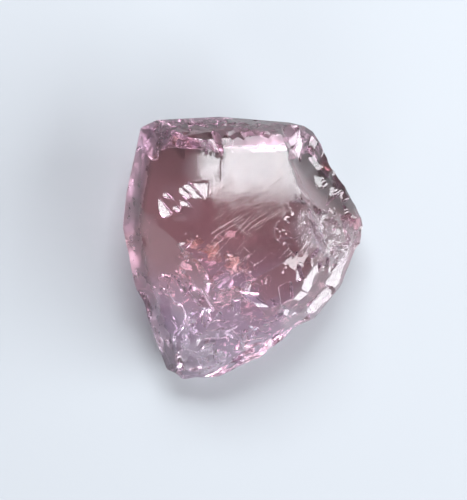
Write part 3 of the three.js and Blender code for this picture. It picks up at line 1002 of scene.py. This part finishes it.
CLEAR_SHARE = 0.05  # of frost, on the smooth skin
TOP_SIDE = (5, 7)  # mm up, between which the effects of the top set in
RIDGE = (0.1, 0.3)  # how proud a corner stands where wear sets in and where it is full
WORN_FROST, WORN_PALE, BRUISED_FROST, VEIL_FROST, POCKET_PALE = 0.5, 0.6, 0.3, 0.5, 0.3
FADE_FROM = 0.6  # share of a zone's reach from which it fades
PAINTED_SHADE_TAKES = 0.8  # share of the paleness that a dark place takes away


def paint(name, values):
    layer = stone.data.attributes.new(name, "FLOAT", "POINT")
    layer.data.foreach_set("value", values.astype(np.float32))


def over_ellipse(p, centre, along, across, turn):
    """1 in the middle of an ellipse in plan, 0 from its edge outward."""
    c, s = math.cos(math.radians(turn)), math.sin(math.radians(turn))
    off = p[:, :2] - np.array(centre)
    u, v = (off[:, 0] * c + off[:, 1] * s) / along, (off[:, 1] * c - off[:, 0] * s) / across
    return 1 - smoothstep(np.hypot(u, v), FADE_FROM, 1.0)


def along_corners(p, corners, reach):
    """1 on a line of corners in plan, 0 from its reach outward."""
    corners = np.array(corners)
    far = np.full(len(p), FAR)
    for start, end in zip(corners, corners[1:]):
        edge = end - start
        t = np.clip((p[:, :2] - start) @ edge / (edge @ edge), 0, 1)
        far = np.minimum(far, np.linalg.norm(p[:, :2] - start - t[:, None] * edge, axis=1))
    return 1 - smoothstep(far, FADE_FROM * reach, reach)


def ridges(points, triangles):
    """How far each corner stands proud of its neighbours, as a share of the way to them."""
    a, b, c = (points[triangles[:, k]] for k in range(3))
    face_normals = np.cross(b - a, c - a)
    normals, total = np.zeros_like(points), np.zeros_like(points)
    count, reach = np.zeros(len(points)), np.zeros(len(points))
    for k in range(3):
        here, after = triangles[:, k], triangles[:, (k + 1) % 3]
        np.add.at(normals, here, face_normals)
        np.add.at(total, here, points[after])
        np.add.at(count, here, 1)
        np.add.at(reach, here, np.linalg.norm(points[after] - points[here], axis=1))
    proud = ((points - total / count[:, None]) * unit(normals)).sum(axis=1)
    return proud / (reach / count)


own_place = points - shift
top_side = smoothstep(own_place[:, 2], *TOP_SIDE)
on_frosted = np.zeros(len(points))
right_of_window = smoothstep(own_place[:skin_count, 0], -4.6, -2.6)
on_frosted[:skin_count] = (owner == FROSTED_ID) * right_of_window
frost = CLEAR_SHARE + (FROSTED_SHARE - CLEAR_SHARE) * on_frosted
pale = np.zeros(len(points))
for centre, along, across, turn, share, paleness in ROUGHER:
    over = over_ellipse(own_place, centre, along, across, turn) * top_side
    frost = np.maximum(frost, share * over)
    pale = np.maximum(pale, paleness * over)
# painted shade along the rows of the table above; a bruised floor sheds it, and it takes away
# paleness
painted_shade = np.zeros(len(points))
for corners, reach_out, share, frosted in PAINTED_SHADE_ZONES:
    over = along_corners(own_place, corners, reach_out)
    painted_shade = np.maximum(painted_shade, share * over)
    frost = np.maximum(frost, frosted * over * top_side)
for number, bruise in bruised_ids.items():
    on_floor = np.flatnonzero(owner == number)
    frost[on_floor] = np.maximum(frost[on_floor], BRUISED_FROST * bruise)
    painted_shade[on_floor] *= 1 - bruise
    pale[on_floor] = np.maximum(pale[on_floor], bruise)
worn = smoothstep(ridges(points[:skin_count], skin_triangles), *RIDGE)
frost[:skin_count] = np.maximum(frost[:skin_count], WORN_FROST * worn)
pale[:skin_count] = np.maximum(pale[:skin_count], WORN_PALE * worn)
hackled = over_ellipse(own_place, *HACKLED) * top_side
pale *= 1 - PAINTED_SHADE_TAKES * painted_shade
frost[skin_count : skin_count + fleck_count] = 0
frost[skin_count + fleck_count :] = VEIL_FROST
pale[skin_count:] = POCKET_PALE
masks = {"frost": frost, "pale": pale, "scratched": on_frosted, "hackled": hackled, "painted_shade": painted_shade}
for name, values in masks.items():
    paint(name, values)
print("crystal:", len(stone.data.vertices), "corners,", len(stone.data.polygons), "triangles")

# %% [markdown]
# ## The crystal's material
#
# Quartz is clear glass to a renderer: full transmission, an index of 1.544, and absorption that
# makes a long way through it darker and pinker than a short one. Three effects vary over its skin,
# and each is a node group: zones of colour, a frost of fine grain, and scratches. The zones also
# hold a rust stain and painted shade: the flat end's pink is made darker and warmer, and a dark
# tint runs along parts of the rim, both standing for dark surroundings seen through the glass.
# Crushed skin is whitened by a rough coat. Real crushed quartz has no coat, but one closed body can
# carry only one material if it absorbs light.

# %% Node helpers
def new_group(name, inputs, outputs):
    group = bpy.data.node_groups.new(name, "ShaderNodeTree")
    for label, kind, value in inputs:
        socket = group.interface.new_socket(label, in_out="INPUT", socket_type="NodeSocket" + kind)
        if value is not None:
            socket.default_value = value
    for label, kind in outputs:
        group.interface.new_socket(label, in_out="OUTPUT", socket_type="NodeSocket" + kind)
    given, out = group.nodes.new("NodeGroupInput"), group.nodes.new("NodeGroupOutput")
    return group, given.outputs, out.inputs


def node(tree, kind, links=None, **settings):
    """A node with its settings, and its inputs linked from sockets or set to values."""
    made = tree.nodes.new("ShaderNode" + kind)
    for key, value in settings.items():
        setattr(made, key, value)
    for key, value in (links or {}).items():
        if isinstance(value, bpy.types.NodeSocket):
            tree.links.new(value, made.inputs[key])
        else:
            made.inputs[key].default_value = value
    return made


def maths(tree, operation, a, b=0.0, c=0.0):
    return node(tree, "Math", {0: a, 1: b, 2: c}, operation=operation).outputs[0]


def ramp(tree, value, low, high, to_low=0.0, to_high=1.0):
    links = {"Value": value, "From Min": low, "From Max": high, "To Min": to_low, "To Max": to_high}
    return node(tree, "MapRange", links, interpolation_type="SMOOTHSTEP").outputs["Result"]


def noise(tree, place, scale, detail=2.0, rough=0.5):
    links = {"Vector": place, "Scale": scale, "Detail": detail, "Roughness": rough}
    return node(tree, "TexNoise", links).outputs["Fac"]


def mix(tree, share, a, b):
    return node(tree, "Mix", {0: share, "A": a, "B": b}, data_type="RGBA").outputs["Result"]


def mask_of(tree, name):
    return node(tree, "Attribute", attribute_name=name).outputs["Fac"]


# %% Zones of colour, and painted shade
WHITE = (1, 1, 1, 1)
ZONE_FROM, ZONE_TO = 0.001, -0.009  # metres in y, between which the flat end's colour gives way
STAIN_SQUEEZE = (1.0, 1.4, 0.7)
STAIN_OUTER, STAIN_INNER = 0.0019, 0.0010  # metres


def colour_zones_and_painted_shade():
    group, given, out = new_group(
        "colour zones and painted shade",
        [
            ("Place", "Vector", None),
            ("Flat end", "Color", WHITE),
            ("Tip", "Color", WHITE),
            ("Bruise", "Color", WHITE),
            ("Pale", "Float", 0.0),
            ("Painted shade colour", "Color", WHITE),
            ("Painted shade", "Float", 0.0),
            ("Stain", "Color", WHITE),
            ("Stain place", "Vector", (0, 0, 0)),
        ],
        [("Color", "Color")],
    )
    y = node(group, "SeparateXYZ", {0: given["Place"]}).outputs["Y"]
    wander = maths(group, "MULTIPLY_ADD", noise(group, given["Place"], 160), 0.006, -0.003)
    share = ramp(group, maths(group, "ADD", y, wander), ZONE_FROM, ZONE_TO)
    # the flat end's colour is the stone's pink with painted shade in it; the tip's is its pale
    # lilac
    zone = mix(group, share, given["Flat end"], given["Tip"])
    patchy = ramp(group, noise(group, given["Place"], 600, 4.0, 0.6), 0.3, 0.6, 0.7, 1.0)
    zone = mix(group, maths(group, "MULTIPLY", given["Pale"], patchy), zone, given["Bruise"])
    # painted shade: towards a dark tint where the painted shade mask is set
    zone = mix(group, given["Painted shade"], zone, given["Painted shade colour"])
    links = {0: given["Place"], 1: given["Stain place"]}
    off = node(group, "VectorMath", links, operation="SUBTRACT").outputs[0]
    off = node(group, "VectorMath", {0: off, 1: STAIN_SQUEEZE}, operation="MULTIPLY").outputs[0]
    far = node(group, "VectorMath", {0: off}, operation="LENGTH").outputs["Value"]
    ragged = maths(group, "MULTIPLY_ADD", noise(group, given["Place"], 900, 4.0), 0.0012, far)
    zone = mix(group, ramp(group, ragged, STAIN_OUTER, STAIN_INNER), zone, given["Stain"])
    group.links.new(zone, out["Color"])
    return group


# %% Frost
def frosted_skin():
    group, given, out = new_group(
        "frosted skin",
        [
            ("Place", "Vector", None),
            ("Frost", "Float", 0.0),
            ("Clear roughness", "Float", 0.0),
            ("Frosted roughness", "Float", 0.4),
        ],
        [("Roughness", "Float"), ("Height", "Float")],
    )
    patchy = ramp(group, noise(group, given["Place"], 700, 4.0, 0.6), 0.3, 0.7, 0.55, 1.25)
    share = maths(group, "MULTIPLY", given["Frost"], patchy)
    span = maths(group, "SUBTRACT", given["Frosted roughness"], given["Clear roughness"])
    rough = maths(group, "MULTIPLY_ADD", share, span, given["Clear roughness"])
    grain = noise(group, given["Place"], 9000, 3.0, 0.6)
    group.links.new(rough, out["Roughness"])
    group.links.new(maths(group, "MULTIPLY", grain, share), out["Height"])
    return group


# %% Scratches
def scratches():
    """Fine lines of one heading: stretched noise, kept where it is highest."""
    group, given, out = new_group(
        "scratches",
        [
            ("Place", "Vector", None),
            ("Heading", "Float", 0.0),
            ("Along", "Float", 130.0),
            ("Across", "Float", 2200.0),
            ("Keep", "Float", 0.7),
        ],
        [("Mask", "Float")],
    )
    links = {"Vector": given["Place"], "Angle": given["Heading"]}
    turned = node(group, "VectorRotate", links, rotation_type="Z_AXIS")
    parts = node(group, "SeparateXYZ", {0: turned.outputs[0]})
    along = maths(group, "MULTIPLY", parts.outputs["X"], given["Along"])
    across = maths(group, "MULTIPLY", parts.outputs["Y"], given["Across"])
    place = node(group, "CombineXYZ", {0: along, 1: across, 2: given["Heading"]})
    lines = noise(group, place.outputs[0], 1.0, 1.0)
    edge = maths(group, "ADD", given["Keep"], 0.08)
    mask = node(group, "MapRange", {"Value": lines, "From Min": given["Keep"], "From Max": edge})
    group.links.new(mask.outputs["Result"], out["Mask"])
    return group


# %% Pink quartz
QUARTZ_INDEX = 1.544
DUST = 0.2
CRUSHED_INDEX = 1.8  # of the coat that whitens crushed skin
CRUSHED_ROUGHNESS = 0.5
CRUSHED_SHARE = 0.7
ABSORPTION = (0.82, 0.45, 0.73)
DENSITY = 29.0  # per metre
# the flat end's own pink, made darker and warmer as painted shade for dark surroundings seen
# through it
FLAT_END_PINK_WITH_PAINTED_SHADE = (0.82, 0.59, 0.54)
TIP = (0.98, 0.92, 1.0)
BRUISE = (1.0, 0.985, 1.0)
# the colour of the painted shade along parts of the rim
PAINTED_SHADE_COLOUR = (0.13, 0.10, 0.11)
STAIN = (0.66, 0.30, 0.16)
STAIN_PLACE = skin_over([(11.0, 10.9)])[0][0]
BUMP_DEPTH = 0.012 * MM
CLEAR_ROUGHNESS, FROSTED_ROUGHNESS, DUST_ROUGHNESS = 0.0, 0.42, 0.5
GRAIN_DEPTH, SWELL_SCALE, SWELL_DEPTH = 0.6, 260, 0.5
SCRATCHES = [  # mask, heading, fineness along and across, share kept, depth
    ("scratched", -32, 150, 5600, 0.66, 0.35),
    ("scratched", -48, 170, 6200, 0.67, 0.35),
    ("scratched", 40, 220, 5600, 0.74, 0.25),
    ("hackled", -68, 520, 4200, 0.45, 3.6),
    ("hackled", -30, 560, 4600, 0.48, 3.0),
]


def set_inputs(sockets, values):
    for name, value in values.items():
        sockets[name].default_value = value


def crystal_material():
    material = bpy.data.materials.new("pink quartz")
    material.use_nodes = True
    tree = material.node_tree
    shader, output = tree.nodes["Principled BSDF"], tree.nodes["Material Output"]
    shader.inputs["Transmission Weight"].default_value = 1.0
    shader.inputs["IOR"].default_value = QUARTZ_INDEX
    shader.inputs["Sheen Weight"].default_value = DUST
    shader.inputs["Sheen Roughness"].default_value = DUST_ROUGHNESS
    shader.inputs["Coat IOR"].default_value = CRUSHED_INDEX
    shader.inputs["Coat Roughness"].default_value = CRUSHED_ROUGHNESS
    volume = node(tree, "VolumeAbsorption", {"Color": (*ABSORPTION, 1), "Density": DENSITY})
    tree.links.new(volume.outputs["Volume"], output.inputs["Volume"])

    place = node(tree, "TexCoord").outputs["Object"]
    pale = mask_of(tree, "pale")
    colours = {"Flat end": FLAT_END_PINK_WITH_PAINTED_SHADE, "Tip": TIP, "Bruise": BRUISE}
    colours.update({"Painted shade colour": PAINTED_SHADE_COLOUR, "Stain": STAIN})
    links = {"Place": place, "Pale": pale, "Painted shade": mask_of(tree, "painted_shade")}
    zones = node(tree, "Group", None, node_tree=colour_zones_and_painted_shade())
    for name, source in links.items():
        tree.links.new(source, zones.inputs[name])
    set_inputs(zones.inputs, {name: (*colour, 1) for name, colour in colours.items()})
    set_inputs(zones.inputs, {"Stain place": (STAIN_PLACE + shift) * MM})
    tree.links.new(maths(tree, "MULTIPLY", pale, CRUSHED_SHARE), shader.inputs["Coat Weight"])
    tree.links.new(zones.outputs["Color"], shader.inputs["Base Color"])

    frost = node(tree, "Group", None, node_tree=frosted_skin())
    roughness = {"Clear roughness": CLEAR_ROUGHNESS, "Frosted roughness": FROSTED_ROUGHNESS}
    set_inputs(frost.inputs, roughness)
    tree.links.new(place, frost.inputs["Place"])
    tree.links.new(mask_of(tree, "frost"), frost.inputs["Frost"])
    tree.links.new(frost.outputs["Roughness"], shader.inputs["Roughness"])

    lines = scratches()
    where = {"scratched": mask_of(tree, "scratched"), "hackled": mask_of(tree, "hackled")}
    height = maths(tree, "MULTIPLY", frost.outputs["Height"], GRAIN_DEPTH)
    for mask, heading, along, across, keep, deep in SCRATCHES:
        run = node(tree, "Group", None, node_tree=lines)
        values = {"Heading": math.radians(heading), "Along": along, "Across": across, "Keep": keep}
        set_inputs(run.inputs, values)
        tree.links.new(place, run.inputs["Place"])
        cut = maths(tree, "MULTIPLY", run.outputs["Mask"], where[mask])
        height = maths(tree, "MULTIPLY_ADD", cut, -deep, height)
    swell = noise(tree, place, SWELL_SCALE, 2.0)
    height = maths(tree, "MULTIPLY_ADD", swell, SWELL_DEPTH, height)
    bump = node(tree, "Bump", {"Strength": 1.0, "Distance": BUMP_DEPTH, "Height": height})
    tree.links.new(bump.outputs["Normal"], shader.inputs["Normal"])
    return material


stone.data.materials.append(crystal_material())
print("material:", stone.data.materials[0].name)

# %% [markdown]
# ## The studio
#
# A plain pale floor, and four soft lights. The key stands behind the flat end, and its near edge is
# placed so that only the upper half of the frosted face mirrors it up to the camera. The others
# stand lower, and give the steep facets something bright to mirror. The rest of the room is dim and
# a little warm, because clear glass shows nothing but its surroundings, and needs dark ones beside
# the bright.

# %% Floor and lights
FLOOR_GAP = 0.03  # mm
FLOOR_SIZE = 3.0  # metres
FLOOR_COLOUR, FLOOR_ROUGHNESS = (0.41, 0.436, 0.462), 0.9
ROOM = (0.165, 0.12, 0.125)
DAYLIGHT = (0.965, 1.0, 1.03)
LIGHTS = [  # name, lean, heading, distance in metres, size in metres, radiance
    ("key", 40.2, 88, 0.6, (0.40, 0.27), 15.2),
    ("right", 68, -15, 0.8, (0.9, 0.5), 10.5),
    ("left", 62, 175, 0.8, (0.25, 0.25), 1),
    ("front", 60, -105, 0.9, (0.5, 0.3), 4),
]
BOUNCES = 24  # a ray passes many faces of a clear stone before it leaves it


def make_floor():
    corners = np.array([(-1, -1, 0), (1, -1, 0), (1, 1, 0), (-1, 1, 0)]) * FLOOR_SIZE / 2 / MM
    corners[:, 2] = -FLOOR_GAP
    floor = mesh_object("floor", corners, np.array([(0, 1, 2), (0, 2, 3)]))
    material = bpy.data.materials.new("pale floor")
    material.use_nodes = True
    shader = material.node_tree.nodes["Principled BSDF"]
    shader.inputs["Base Color"].default_value = (*FLOOR_COLOUR, 1)
    shader.inputs["Roughness"].default_value = FLOOR_ROUGHNESS
    floor.data.materials.append(material)


def softbox(name, lean, heading, distance, size, radiance):
    """A rectangle of light that faces the stone, leaning from upright towards a heading."""
    data = bpy.data.lights.new(name, "AREA")
    data.shape = "RECTANGLE"
    data.size, data.size_y = size
    data.energy = radiance * math.pi * size[0] * size[1]
    data.color = DAYLIGHT
    light = bpy.data.objects.new(name, data)
    aim = Vector((0, 0, MIDDLE_HEIGHT))
    way = Vector(facing(lean, heading))
    light.location = aim + way * distance
    light.rotation_euler = way.to_track_quat("Z", "Y").to_euler()
    bpy.context.scene.collection.objects.link(light)


make_floor()
for row in LIGHTS:
    softbox(*row)
world = bpy.data.worlds.new("studio")
world.use_nodes = True
world.node_tree.nodes["Background"].inputs["Color"].default_value = (*ROOM, 1)

scene = bpy.context.scene
scene.world = world
scene.view_settings.view_transform = "Standard"
scene.cycles.max_bounces = BOUNCES
scene.cycles.transmission_bounces = BOUNCES
